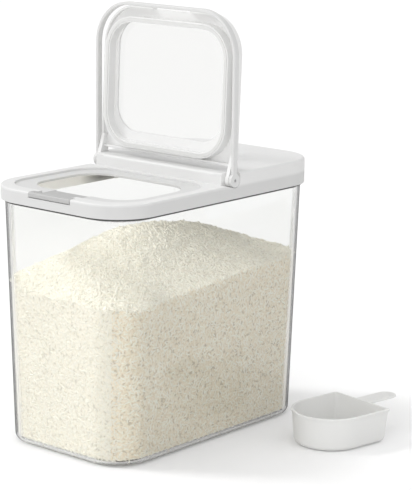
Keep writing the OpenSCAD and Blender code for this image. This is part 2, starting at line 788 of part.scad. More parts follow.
module scoop_bowl(z0, z1, inset, edge_r) {
    hull() {
        for (i = [0 : edge_steps]) {
            a = 90 * i / edge_steps;
            z = z0 + edge_r * (1 - cos(a));
            translate([0, 0, z]) linear_extrude(slice)
                scoop2d(inset + scoop_draft * (1 - z / scoop_h) + edge_r * (1 - sin(a)));
        }
        translate([0, 0, z1 - slice]) linear_extrude(slice) scoop2d(inset);
    }
}

module scoop() {
    rim_out = 0.9;
    rim_h = 2;
    grip_root = 1;
    color(warm_grey) translate([scoop_x, scoop_y, 0]) rotate([0, 0, scoop_turn]) difference() {
        union() {
            scoop_bowl(0, scoop_h, 0, scoop_edge_r);
            translate([0, 0, scoop_h - rim_h]) linear_extrude(rim_h) scoop2d(-rim_out);
            translate([scoop_l / 2 - grip_root, -grip_w / 2, scoop_h - grip_t])
                cube([grip_l - grip_w / 2 + grip_root, grip_w, grip_t]);
            translate([scoop_l / 2 + grip_l - grip_w / 2, 0, scoop_h - grip_t])
                cylinder(d = grip_w, h = grip_t);
        }
        scoop_bowl(scoop_floor, scoop_h + 1, scoop_wall, scoop_edge_r);
    }
}

tub();
rice_fill();
lid_shell();
lid_liner();
lid_gasket();
hinge_pin_left();
hinge_pin_right();
handle();
flip_lid_frame();
flip_lid_window();
flip_lid_gasket();
latch_button();
latch_spring_left();
latch_spring_right();
scoop();
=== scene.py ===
import math

import bmesh
import bpy
from bpy.props import FloatProperty, FloatVectorProperty, IntProperty, PointerProperty
from mathutils import Matrix, Vector, noise


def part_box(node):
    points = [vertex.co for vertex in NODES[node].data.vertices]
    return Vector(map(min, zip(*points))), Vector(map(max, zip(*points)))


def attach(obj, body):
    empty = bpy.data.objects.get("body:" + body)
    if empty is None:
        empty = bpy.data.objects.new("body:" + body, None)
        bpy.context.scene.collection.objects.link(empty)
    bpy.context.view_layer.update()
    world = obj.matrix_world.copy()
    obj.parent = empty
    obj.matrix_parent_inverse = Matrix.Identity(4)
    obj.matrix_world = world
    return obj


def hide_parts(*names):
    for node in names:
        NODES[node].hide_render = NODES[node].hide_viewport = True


bl_info = {
    "name": "Rice Bin With Flip Lid",
    "version": (1, 0, 0),
    "blender": (4, 5, 0),
    "location": "3D View > Sidebar > Rice Bin",
    "description": "Builds the looks of a clear rice bin with a white flip lid",
    "category": "Object",
}

MM = 0.001
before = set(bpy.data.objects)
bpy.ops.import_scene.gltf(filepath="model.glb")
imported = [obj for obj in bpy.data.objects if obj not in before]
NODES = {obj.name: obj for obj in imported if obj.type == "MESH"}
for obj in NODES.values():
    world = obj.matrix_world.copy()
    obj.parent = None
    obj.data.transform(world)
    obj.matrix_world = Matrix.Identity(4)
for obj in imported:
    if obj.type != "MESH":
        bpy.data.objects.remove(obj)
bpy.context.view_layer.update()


# ---- shapes -----------------------------------------------------------------


def rounded_loop(width, depth, radius, z, arc=14, runs=(1, 1)):
    """Closed outline of a centred rounded rectangle, anticlockwise; runs cuts its sides along X and Y."""
    hx, hy = width / 2 - radius, depth / 2 - radius
    corners = []
    for cx, cy, start in ((hx, hy, 0), (-hx, hy, 90), (-hx, -hy, 180), (hx, -hy, 270)):
        turns = [math.radians(start + 90 * i / arc) for i in range(arc + 1)]
        corners.append([Vector((cx + radius * math.cos(a), cy + radius * math.sin(a), z)) for a in turns])
    points = []
    for k, corner in enumerate(corners):
        points += corner
        parts = runs[k % 2]
        points += [corner[-1].lerp(corners[(k + 1) % 4][0], i / parts) for i in range(1, parts)]
    return points


def loft(rings, cap_start=True, cap_end=True):
    """bmesh whose faces join each ring to the next."""
    bm = bmesh.new()
    rows = [[bm.verts.new(p) for p in ring] for ring in rings]
    for a, b in zip(rows, rows[1:]):
        for i in range(len(a)):
            j = (i + 1) % len(a)
            bm.faces.new((a[i], a[j], b[j], b[i]))
    if cap_start:
        bm.faces.new(list(reversed(rows[0])))
    if cap_end:
        bm.faces.new(rows[-1])
    bmesh.ops.recalc_face_normals(bm, faces=bm.faces)
    return bm


def finished(name, bm, material, sharp=35.0):
    """Object from a bmesh, smooth except along sharp edges, with its material."""
    mesh = bpy.data.meshes.new(name)
    bm.to_mesh(mesh)
    bm.free()
    mesh.shade_smooth()
    mesh.set_sharp_from_angle(angle=math.radians(sharp))
    obj = bpy.data.objects.new(name, mesh)
    bpy.context.scene.collection.objects.link(obj)
    mesh.materials.append(material)
    return obj


def plain_copy(obj, name):
    """Plain mesh object of what obj's modifiers make; obj goes."""
    graph = bpy.context.evaluated_depsgraph_get()
    mesh = bpy.data.meshes.new_from_object(obj.evaluated_get(graph))
    made = bpy.data.objects.new(name, mesh)
    bpy.context.scene.collection.objects.link(made)
    bpy.data.objects.remove(obj)
    mesh.name = name
    return made


def flatten_shading(obj):
    """Keeps the broad faces flat-looking beside their rounded edges."""
    m = obj.modifiers.new("Even normals", "WEIGHTED_NORMAL")
    m.keep_sharp = True
    m.weight = 80


# ---- materials --------------------------------------------------------------


class Recipe:
    """Short words for building a material's nodes."""

    def __init__(self, name):
        self.material = bpy.data.materials.new(name)
        self.material.use_nodes = True
        self.tree = self.material.node_tree
        self.nodes = self.tree.nodes
        self.nodes.clear()
        self.output = self.nodes.new("ShaderNodeOutputMaterial")

    def node(self, kind, inputs=None, **settings):
        n = self.nodes.new(kind)
        for key, value in settings.items():
            setattr(n, key, value)
        for key, value in (inputs or {}).items():
            if isinstance(value, bpy.types.NodeSocket):
                self.tree.links.new(value, n.inputs[key])
            else:
                n.inputs[key].default_value = value
        return n

    def shader(self, **inputs):
        return self.node("ShaderNodeBsdfPrincipled", {k.replace("_", " "): v for k, v in inputs.items()})

    def place(self):
        return self.node("ShaderNodeTexCoord").outputs["Object"]

    def noise(self, scale, detail=2.0, vector=None, roughness=0.5):
        return self.node("ShaderNodeTexNoise", {
            "Vector": vector or self.place(), "Scale": scale, "Detail": detail, "Roughness": roughness,
        })

    def ramp(self, factor, stops):
        r = self.node("ShaderNodeValToRGB", {"Fac": factor})
        while len(r.color_ramp.elements) < len(stops):
            r.color_ramp.elements.new(0.5)
        for e, (at, colour) in zip(r.color_ramp.elements, stops):
            e.position = at
            e.color = (*colour, 1.0) if hasattr(colour, "__len__") else (colour, colour, colour, 1.0)
        return r.outputs["Color"]

    def bump(self, height, depth, strength=1.0):
        return self.node("ShaderNodeBump", {
            "Height": height, "Distance": depth, "Strength": strength,
        }).outputs["Normal"]

    def height(self):
        return self.node("ShaderNodeSeparateXYZ", {0: self.place()}).outputs["Z"]

    def math(self, operation, a, b=0.0):
        return self.node("ShaderNodeMath", {0: a, 1: b}, operation=operation).outputs[0]

    def times(self, share, colour, tint):
        """Colour multiplied by a tint, by a share of it."""
        inputs = {0: share, 6: colour, 7: tint}
        return self.node("ShaderNodeMix", inputs, data_type="RGBA", blend_type="MULTIPLY").outputs[2]

    def clear(self, colour):
        return self.node("ShaderNodeBsdfTransparent", {"Color": colour}).outputs[0]

    def mixed(self, share, first, second):
        return self.node("ShaderNodeMixShader", {0: share, 1: first, 2: second}).outputs[0]

    def surface(self, shader):
        self.tree.links.new(shader, self.output.inputs["Surface"])
        return self.material


def scaled(colour, factor):
    """Colour times one factor, or times one for each channel, kept at 1 or below."""
    factors = factor if hasattr(factor, "__len__") else (factor,) * 3
    return tuple(min(1.0, c * k) for c, k in zip(colour, factors))


def moulded_plastic(name, colour, roughness, through=0.0, skirt=None):
    """Moulded plastic with a faint mottle and fine spark texture; through is the share of the lamps' light
    that one skin passes, and below the height skirt its colour carries painted shade, darkened to 0.84."""
    spark_depth, skirt_fade, skirt_painted_shade = 0.00002, 0.003, (0.84, 0.84, 0.84, 1.0)
    r = Recipe(name)
    flow = r.noise(9.0, 3.0).outputs["Fac"]
    tint = r.ramp(flow, [(0.35, scaled(colour, 0.975)), (0.65, tuple(colour))])
    # Painted shade: below the skirt height the colour is multiplied by 0.84, as if the skirt stood in shade.
    if skirt:
        below = {"Value": r.height(), "From Min": skirt, "From Max": skirt - skirt_fade}
        tint = r.times(r.node("ShaderNodeMapRange", below).outputs[0], tint, skirt_painted_shade)
    gloss = r.ramp(r.noise(70.0, 3.0).outputs["Fac"], [(0.3, roughness * 0.9), (0.7, roughness * 1.1)])
    spark = r.bump(r.noise(2600.0, 1.0).outputs["Fac"], spark_depth, 0.5)
    solid = r.shader(Base_Color=tint, Roughness=gloss, Normal=spark, Specular_IOR_Level=0.3).outputs[0]
    if not through:
        return r.surface(solid)
    lit = r.math("MULTIPLY", r.node("ShaderNodeLightPath").outputs["Is Shadow Ray"], through)
    return r.surface(r.mixed(lit, solid, r.clear((1.0, 0.99, 0.97, 1.0))))


def liner_plastic(name, colour, roughness, low, covered):
    """White moulding of the liner; painted shade darkens its inner faces upwards from low and back to the
    covered end, where the plateau keeps the light off.
    """
    rise, reach, end, darkest = 0.006, 0.036, 0.008, 0.07
    r = Recipe(name)
    place = r.node("ShaderNodeSeparateXYZ", {0: r.place()})
    up = r.node("ShaderNodeMapRange", {
        "Value": place.outputs["Z"], "From Min": low, "From Max": low + rise, "To Min": 0.55, "To Max": 1.0,
    }).outputs[0]
    back = r.node("ShaderNodeMapRange", {
        "Value": place.outputs["Y"], "From Min": covered - reach, "From Max": covered - end,
    }).outputs[0]
    normal = r.node("ShaderNodeTexCoord").outputs["Normal"]
    facing = r.node("ShaderNodeVectorMath", {0: r.place(), 1: normal}, operation="DOT_PRODUCT")
    inner = r.math("LESS_THAN", facing.outputs["Value"], 0.0)
    # Painted shade: the inner faces are darkened towards 0.07 of the colour near the top and the covered end.
    shade = r.math("MULTIPLY", r.math("MULTIPLY", up, back), inner)
    tint = r.ramp(shade, [(0.0, tuple(colour)), (1.0, tuple(c * darkest for c in colour))])
    return r.surface(r.shader(Base_Color=tint, Roughness=roughness).outputs[0])


def clear_plastic(name, colour, density, edge, base=0.0, rim=None):
    """Clear styrene that lamps shine through, grey down to edge where it is seen along its face. With rim it
    is the tub: only its corners grey, its base is duller, and its lip above the height rim is painted
    near-black as the shadow in the gap under the lid's skirt."""
    dull_base, lip_gap_shadow = (0.9, 0.9, 0.885, 1.0), (0.05, 0.05, 0.048, 1.0)
    r = Recipe(name)
    facing = r.node("ShaderNodeLayerWeight", {"Blend": 0.5}).outputs["Facing"]
    gloss = r.ramp(r.noise(30.0, 2.0).outputs["Fac"], [(0.3, 0.008), (0.7, 0.02)])
    glass = r.shader(Base_Color=(*colour, 1.0), Roughness=gloss, IOR=1.49)
    glass.inputs["Transmission Weight"].default_value = 1.0
    glass.inputs["Specular IOR Level"].default_value = 0.08
    steps = ((0.42, 1.0), (0.5, 0.97), (0.6, 0.86), (0.66, 0.7), (0.74, 0.3), (0.86, 0.1), (1.0, 0.0))
    grey = r.ramp(facing, [(at, edge + (1 - edge) * k) for at, k in steps])
    sheen = r.node("ShaderNodeBsdfGlossy", {"Color": (1.0, 1.0, 1.0, 1.0), "Roughness": 0.3}).outputs[0]
    veil = r.ramp(facing, [(0.4, 0.0), (0.48, 0.5), (0.58, 0.6), (0.68, 0.15), (1.0, 0.0)])
    along = r.mixed(veil, r.clear(grey), sheen)
    share = r.ramp(facing, [(0.4, 0.0), (0.52, 0.6), (0.66, 0.92), (1.0, 1.0)])
    if rim:
        normal = r.node("ShaderNodeSeparateXYZ", {0: r.node("ShaderNodeTexCoord").outputs["Normal"]})
        turned = r.math("ABSOLUTE", r.math("MULTIPLY", normal.outputs["X"], normal.outputs["Y"]))
        share = r.math("MULTIPLY", share, r.ramp(turned, [(0.02, 0.0), (0.12, 1.0)]))
    seen = r.mixed(share, glass.outputs[0], along)
    if base:
        seen = r.mixed(r.math("LESS_THAN", r.height(), base), seen, r.clear(dull_base))
    if rim:
        # Painted shadow: above the rim height the lip is a near-black opaque shader, standing for the shade
        # in the gap under the lid's skirt.
        lip = r.shader(Base_Color=lip_gap_shadow, Roughness=0.4).outputs[0]
        seen = r.mixed(r.math("GREATER_THAN", r.height(), rim), seen, lip)
    shadow = r.node("ShaderNodeLightPath").outputs["Is Shadow Ray"]
    smoke = r.node("ShaderNodeVolumeAbsorption", {"Color": (0.5, 0.52, 0.52, 1.0), "Density": density})
    r.tree.links.new(smoke.outputs[0], r.output.inputs["Volume"])
    return r.surface(r.mixed(shadow, seen, r.clear((0.99, 0.99, 0.99, 1.0))))


def rice_material(name, light, shade):
    """Polished rice: each grain has its own tone, with a chalky heart."""
    r = Recipe(name)
    tone = r.node("ShaderNodeAttribute", attribute_name="tone").outputs["Fac"]
    middle = tuple((2 * a + b) / 3 for a, b in zip(light, shade))
    tint = r.ramp(tone, [(0.0, shade), (0.35, middle), (0.8, light)])
    chalk = r.noise(420.0, 2.0).outputs["Fac"]
    colour = r.times(0.5, tint, r.ramp(chalk, [(0.3, 0.93), (0.7, 1.0)]))
    s = r.shader(Base_Color=colour, Roughness=0.5, Normal=r.bump(chalk, 0.0001, 0.4), IOR=1.45)
    return r.surface(s.outputs[0])


def bed_material(name, light, shade, void_shade):
    """The rice between and behind the grains: lighter and darker cells; the last argument darkens the cell
    edges as painted shade in the gaps between grains.
    """
    r = Recipe(name)
    cells = r.node("ShaderNodeTexVoronoi", {"Vector": r.place(), "Scale": 330.0, "Randomness": 1.0})
    distance = cells.outputs["Distance"]
    tint = r.ramp(distance, [(0.1, light), (0.62, shade), (0.8, tuple(c * void_shade for c in shade))])
    s = r.shader(Base_Color=tint, Roughness=0.7, Normal=r.bump(distance, 0.0008, 0.6))
    return r.surface(s.outputs[0])


def pin_steel(name):
    """Drawn steel: fine rings round its length."""
    r = Recipe(name)
    stretch = r.node("ShaderNodeMapping", {"Vector": r.place(), "Scale": (3000.0, 60.0, 60.0)})
    lines = r.noise(1.0, 2.0, stretch.outputs[0]).outputs["Fac"]
    s = r.shader(Base_Color=(0.42, 0.42, 0.43, 1.0), Metallic=1.0,
                 Roughness=r.ramp(lines, [(0.3, 0.28), (0.7, 0.45)]), Normal=r.bump(lines, 0.00002, 0.5))
    return r.surface(s.outputs[0])


def floor_material(name, colour, duller, lift, lift_through):
    """Pale floor that camera and mirrors see brighter by lift and clear walls by lift_through. Seen through
    clear walls it has the duller colour. Its shadows are kept."""
    r = Recipe(name)
    soft = r.noise(0.8, 2.0).outputs["Fac"]
    tint = r.ramp(soft, [(0.3, tuple(c * 0.99 for c in colour)), (0.7, tuple(colour))])
    ray = r.node("ShaderNodeLightPath").outputs
    beyond = ray["Is Transmission Ray"]
    seen = r.node("ShaderNodeMix", {0: beyond, 6: tint, 7: (*duller, 1.0)}, data_type="RGBA").outputs[2]
    matt = r.node("ShaderNodeBsdfDiffuse", {"Color": seen})
    plain = r.math("MULTIPLY", r.math("MAXIMUM", ray["Is Camera Ray"], ray["Is Glossy Ray"]), lift)
    through = r.math("MULTIPLY", beyond, lift_through)
    strength = r.math("MAXIMUM", plain, through)
    glow = r.node("ShaderNodeEmission", {"Color": (1.0, 1.0, 1.0, 1.0), "Strength": strength})
    return r.surface(r.node("ShaderNodeAddShader", {0: matt.outputs[0], 1: glow.outputs[0]}).outputs[0])


def dress(names, material):
    """Gives CAD nodes their material."""
    for n in names:
        mesh = NODES[n].data
        mesh.materials.clear()
        mesh.materials.append(material)


# ---- sizes and colours ------------------------------------------------------


class TubSizes(bpy.types.PropertyGroup):
    mouth_width: FloatProperty(name="Mouth width", description="Width of the mouth, outside the wall",
                               default=0.1686, unit="LENGTH")
    mouth_depth: FloatProperty(name="Mouth depth", description="Depth of the mouth, outside the wall",
                               default=0.282, unit="LENGTH")
    mouth_radius: FloatProperty(name="Mouth corner", description="Corner radius of the mouth",
                                default=0.032, unit="LENGTH")
    foot_width: FloatProperty(name="Foot width", description="Width of the foot",
                              default=0.16, unit="LENGTH")
    foot_depth: FloatProperty(name="Foot depth", description="Depth of the foot",
                              default=0.275, unit="LENGTH")
    foot_radius: FloatProperty(name="Foot corner", description="Corner radius of the foot",
                               default=0.038, unit="LENGTH")
    flange_radius: FloatProperty(name="Flange corner", description="Corner radius of the rim flange",
                                 default=0.0413, unit="LENGTH")
    flange: FloatProperty(name="Flange", description="Thickness of the rim flange",
                          default=0.002, unit="LENGTH")
    lip: FloatProperty(name="Lip", description="Thickness of the lip turned down from the flange",
                       default=0.0014, unit="LENGTH")
    lip_drop: FloatProperty(name="Lip drop", description="Drop of the lip below the flange",
                            default=0.0027, unit="LENGTH")
    wall: FloatProperty(name="Wall", description="Thickness of the wall", default=0.0018, unit="LENGTH")
    base: FloatProperty(name="Base", description="Thickness of the base", default=0.0026, unit="LENGTH")
    edge: FloatProperty(name="Lower edge", description="Rounding between base and wall",
                        default=0.007, unit="LENGTH")
    grey: FloatProperty(name="Edge grey", description="Share of light through a wall seen along its face",
                        default=0.3, min=0, max=1)
    colour: FloatVectorProperty(name="Tub colour", description="Colour of the clear plastic",
                                subtype="COLOR", default=(0.995, 0.998, 0.998), min=0, max=1)
    smoke: FloatProperty(name="Smoke", description="How fast the plastic greys what is seen through it",
                         default=8.0, min=0)


class RiceSizes(bpy.types.PropertyGroup):
    grain_length: FloatProperty(name="Grain length", description="Length of a grain",
                                default=0.0067, unit="LENGTH")
    grain_width: FloatProperty(name="Grain width", description="Width of a grain",
                               default=0.0025, unit="LENGTH")
    spacing: FloatProperty(name="Spacing", description="Least distance between neighbouring grains",
                           default=0.0021, unit="LENGTH")
    clearance: FloatProperty(name="Clearance", description="Room that the grains keep from the wall",
                             default=0.0006, unit="LENGTH")
    front: FloatProperty(name="Front level", description="Level at the middle of the front wall",
                         default=0.1525, unit="LENGTH")
    rear: FloatProperty(name="Rear level", description="Level at the rear wall",
                        default=0.168, unit="LENGTH")
    crest: FloatProperty(name="Crest", description="Height of the heap", default=0.206, unit="LENGTH")
    ahead: FloatProperty(name="Crest ahead", description="Distance of the crest in front of the middle",
                         default=0.033, unit="LENGTH")
    tip: FloatProperty(name="Tip", description="How much higher the rice lies at the front left",
                       default=0.0055, unit="LENGTH")
    left_rise: FloatProperty(name="Left rise", description="How much higher the rice lies on the left",
                             default=0.007, unit="LENGTH")
    right_fall: FloatProperty(name="Right fall", description="How much lower it lies at the rear right",
                              default=0.003, unit="LENGTH")
    seed: IntProperty(name="Seed", description="Seed of the scatter", default=11)
    light: FloatVectorProperty(name="Light grains", description="Colour of the lightest grains",
                               subtype="COLOR", default=(0.99, 0.98, 0.895), min=0, max=1)
    shade: FloatVectorProperty(name="Dark grains", description="Colour of the darkest grains",
                               subtype="COLOR", default=(0.9, 0.82, 0.66), min=0, max=1)


class LidColours(bpy.types.PropertyGroup):
    deck_rise: FloatProperty(name="Deck rise", description="Height from the skirt's edge to the front deck",
                             default=0.0135, unit="LENGTH")
    # Only sets the back end of the liner's painted shade.
    hinge: FloatProperty(name="Hinge", description="Place of the hinge, where the plateau covers the mouth",
                         default=0.012, unit="LENGTH")
    rib_place: FloatVectorProperty(name="Rib place", description="Middle of the liner's rib, from its foot",
                                   subtype="TRANSLATION", default=(-0.0781, 0.0325, 0.0041))
    rib_size: FloatVectorProperty(name="Rib size", description="Thickness, length and height of that rib",
                                  subtype="XYZ_LENGTH", default=(0.0034, 0.0155, 0.0078))
    white: FloatVectorProperty(name="Lid", description="Colour of the white mouldings",
                               subtype="COLOR", default=(0.755, 0.755, 0.75), min=0, max=1)
    grey: FloatVectorProperty(name="Latch", description="Colour of the latch",
                              subtype="COLOR", default=(0.46, 0.46, 0.455), min=0, max=1)
    seal: FloatVectorProperty(name="Seals", description="Colour of the silicone seals",
                              subtype="COLOR", default=(0.70, 0.70, 0.69), min=0, max=1)
    gloss: FloatProperty(name="Roughness", description="Roughness of the white mouldings",
                         default=0.46, min=0.02, max=1)
    through: FloatProperty(name="Light through", description="Share of light that one skin of the lid passes",
                           default=0.85, min=0, max=1)


class ScoopSizes(bpy.types.PropertyGroup):
    width: FloatProperty(name="Width", description="Width of the bowl", default=0.075, unit="LENGTH")
    length: FloatProperty(name="Length", description="Length of the bowl", default=0.081, unit="LENGTH")
    height: FloatProperty(name="Depth", description="Depth of the bowl", default=0.0335, unit="LENGTH")
    wall: FloatProperty(name="Wall", description="Thickness of the wall", default=0.0016, unit="LENGTH")
    draft: FloatProperty(name="Draft", description="Draft of the wall", default=0.0026, unit="LENGTH")
    corner: FloatProperty(name="Corner", description="Radius of the two back corners",
                          default=0.003, unit="LENGTH")
    grip_width: FloatProperty(name="Grip width", description="Width of the grip",
                              default=0.019, unit="LENGTH")
    grip_length: FloatProperty(name="Grip length", description="Length of the grip",
                               default=0.043, unit="LENGTH")
    grip_height: FloatProperty(name="Grip thickness", description="Thickness of the grip",
                               default=0.0022, unit="LENGTH")
    x: FloatProperty(name="Place X", description="Middle of the bowl", default=0.165, unit="LENGTH")
    y: FloatProperty(name="Place Y", description="Middle of the bowl", default=0.075, unit="LENGTH")
    turn: FloatProperty(name="Turn", description="Turn of the grip from +X",
                        default=math.radians(81), subtype="ANGLE")
    colour: FloatVectorProperty(name="Colour", description="Colour of the scoop",
                                subtype="COLOR", default=(0.81, 0.81, 0.797), min=0, max=1)


class StudioSizes(bpy.types.PropertyGroup):
    sky: FloatProperty(name="Sky", description="Strength of the even light", default=0.78, min=0)
    key: FloatProperty(name="Key light", description="Strength of the soft sun from the left",
                       default=1.09, min=0)
    fill: FloatProperty(name="Fill light", description="Power of the large lamp in front",
                        default=11.3, min=0, unit="POWER")
    side: FloatProperty(name="Side light", description="Power of the large lamp on the right",
                        default=1.2, min=0, unit="POWER")
    lift: FloatProperty(name="Floor lift", description="Brightness that the seen floor gains",
                        default=0.12, min=0)
    lift_through: FloatProperty(name="Lift through the walls", default=0.05, min=0,
                                description="Brightness that the floor gains seen through clear walls")
    lens: FloatProperty(name="Lens", description="Focal length in millimetres", default=147.92)


# ---- tub --------------------------------------------------------------------


def tub_loop(s, z, inset, arc=14, runs=(1, 1)):
    """Outline of the drafted tub at height z, inset from its outer face."""
    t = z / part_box("tub")[1].z
    width = s.foot_width + (s.mouth_width - s.foot_width) * t - 2 * inset
    depth = s.foot_depth + (s.mouth_depth - s.foot_depth) * t - 2 * inset
    radius = s.foot_radius + (s.mouth_radius - s.foot_radius) * t - inset
    return rounded_loop(width, depth, radius, z, arc, runs)


class RICEBIN_OT_tub(bpy.types.Operator):
    """Clear drafted tub with its rim flange"""

    bl_idname = "ricebin.tub"
    bl_label = "Tub"

    def execute(self, context):
        s = context.scene.rice_tub
        low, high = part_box("tub")
        top = high.z
        steps = [math.radians(90 * i / 12) for i in range(13)]
        outer = [tub_loop(s, s.edge * (1 - math.cos(a)), s.edge * (1 - math.sin(a))) for a in steps]
        outer += [tub_loop(s, top - s.flange, 0.0)]
        under = top - s.flange - s.lip_drop
        rims = ((s.lip, top - s.flange), (s.lip, under + 0.0003), (s.lip - 0.0003, under), (0.0003, under),
                (0, under + 0.0003), (0, top - 0.0003), (0.0003, top))
        flange = [rounded_loop(high.x - low.x - 2 * i, high.y - low.y - 2 * i, s.flange_radius - i, z)
                  for i, z in rims]
        edge = s.edge - 0.001
        inner = [tub_loop(s, top, s.wall)]
        inner += [tub_loop(s, s.base + edge * (1 - math.cos(a)), s.wall + edge * (1 - math.sin(a)))
                  for a in reversed(steps)]
        material = clear_plastic("clear_tub", tuple(s.colour), s.smoke, s.grey, s.base, under - 0.0001)
        tub = finished("tub_clear", loft(outer + flange + inner), material)
        flatten_shading(tub)
        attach(tub, "bin")
        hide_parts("tub")
        return {"FINISHED"}


# ---- rice -------------------------------------------------------------------


def heap_height(s, x, y, half_x, half_y):
    """Height of the heaped rice over a point."""
    along = min(1.0, max(0.0, (y + half_y) / (2 * half_y)))
    toward = math.sin(math.pi / 2 * along)
    wall = s.front + (s.rear - s.front) * toward - s.tip * x / half_x * (1 - toward)
    if x < 0:
        wall += s.left_rise * -x / half_x * math.sin(math.pi * along) ** 1.3
    else:
        wall -= s.right_fall * x / half_x * along
    if y < -s.ahead:
        up = math.sin(math.pi / 2 * max(0.0, y + half_y) / (half_y - s.ahead)) ** 0.65
        ridge = s.front + (s.crest - s.front) * up
    else:
        ridge = s.crest - (s.crest - s.rear) * ((y + s.ahead) / (half_y + s.ahead)) ** 2
    u, k = min(1.0, abs(x) / half_x), 0.35
    fall = (math.hypot(u, k) - k) / (math.hypot(1, k) - k)
    broad = noise.noise(Vector((x, y, 0.3)) * 38) * 1.7
    fine = noise.noise(Vector((x, y, 1.7)) * 150) * 1.8
    rough = broad + fine
    return wall + (ridge - wall) * (1 - fall) + rough * (1 - u ** 6) * MM


def rice_bed(s, tub):
    """bmesh of the heap just under its outer grains."""
    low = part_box("rice_fill")[0].z + 0.0001
    inset = tub.wall + 0.0003 + s.clearance
    turn = tub.edge - 0.001 - 0.0003 - s.clearance
    runs = (24, 48)
    rings = []
    for i in range(6, 0, -1):
        a = math.radians(15 * i)
        z = low + turn * (1 - math.sin(a))
        rings.append(tub_loop(tub, z, inset + turn * (1 - math.cos(a)), runs=runs))
    foot, high = tub_loop(tub, low + turn, inset, runs=runs), tub_loop(tub, s.front, inset, runs=runs)
    half_x, half_y = max(p.x for p in high), max(p.y for p in high)
    tops = [heap_height(s, p.x, p.y, half_x, half_y) for p in high]
    rows = 30
    for k in range(rows + 1):
        ring = []
        for p, q, top in zip(foot, high, tops):
            z = p.z + (top - p.z) * k / rows
            ring.append(p.lerp(q, (z - p.z) / (q.z - p.z)))
        rings.append(ring)
    last = rings[-1]
    for k in range(1, 34):
        t = 1 - k / 34
        places = [(p.x * t, p.y * t) for p in last]
        rings.append([Vector((x, y, heap_height(s, x, y, half_x, half_y))) for x, y in places])
    return loft(rings)


def patch(bm, wanted):
    """Mesh object of the faces for which wanted(centre, normal) holds."""
    part = bm.copy()
    bmesh.ops.delete(part, geom=[f for f in part.faces if not wanted(f.calc_center_median(), f.normal)],
                     context="FACES")
    mesh = bpy.data.meshes.new("patch")
    part.to_mesh(mesh)
    part.free()
    obj = bpy.data.objects.new("patch", mesh)
    bpy.context.scene.collection.objects.link(obj)
    return obj


def grain_mesh(length, width):
    """One grain: a five-sided spindle with a blunt and a narrow end."""
    bm = bmesh.new()
    sides = 5
    tips = [bm.verts.new((-length / 2, 0, 0)), bm.verts.new((length / 2, 0, 0))]
    rows = []
    for x, r in ((-0.27, 0.47), (0.24, 0.44)):
        rows.append([bm.verts.new((x * length, width * r * math.cos(2 * math.pi * i / sides),
                                   width * r * 0.82 * math.sin(2 * math.pi * i / sides)))
                     for i in range(sides)])
    for i in range(sides):
        j = (i + 1) % sides
        bm.faces.new((tips[0], rows[0][i], rows[0][j]))
        bm.faces.new((rows[0][i], rows[1][i], rows[1][j], rows[0][j]))
        bm.faces.new((tips[1], rows[1][j], rows[1][i]))
    bmesh.ops.recalc_face_normals(bm, faces=bm.faces)
    mesh = bpy.data.meshes.new("grain")
    bm.to_mesh(mesh)
    bm.free()
    mesh.shade_smooth()
    obj = bpy.data.objects.new("grain", mesh)
    bpy.context.scene.collection.objects.link(obj)
    return obj


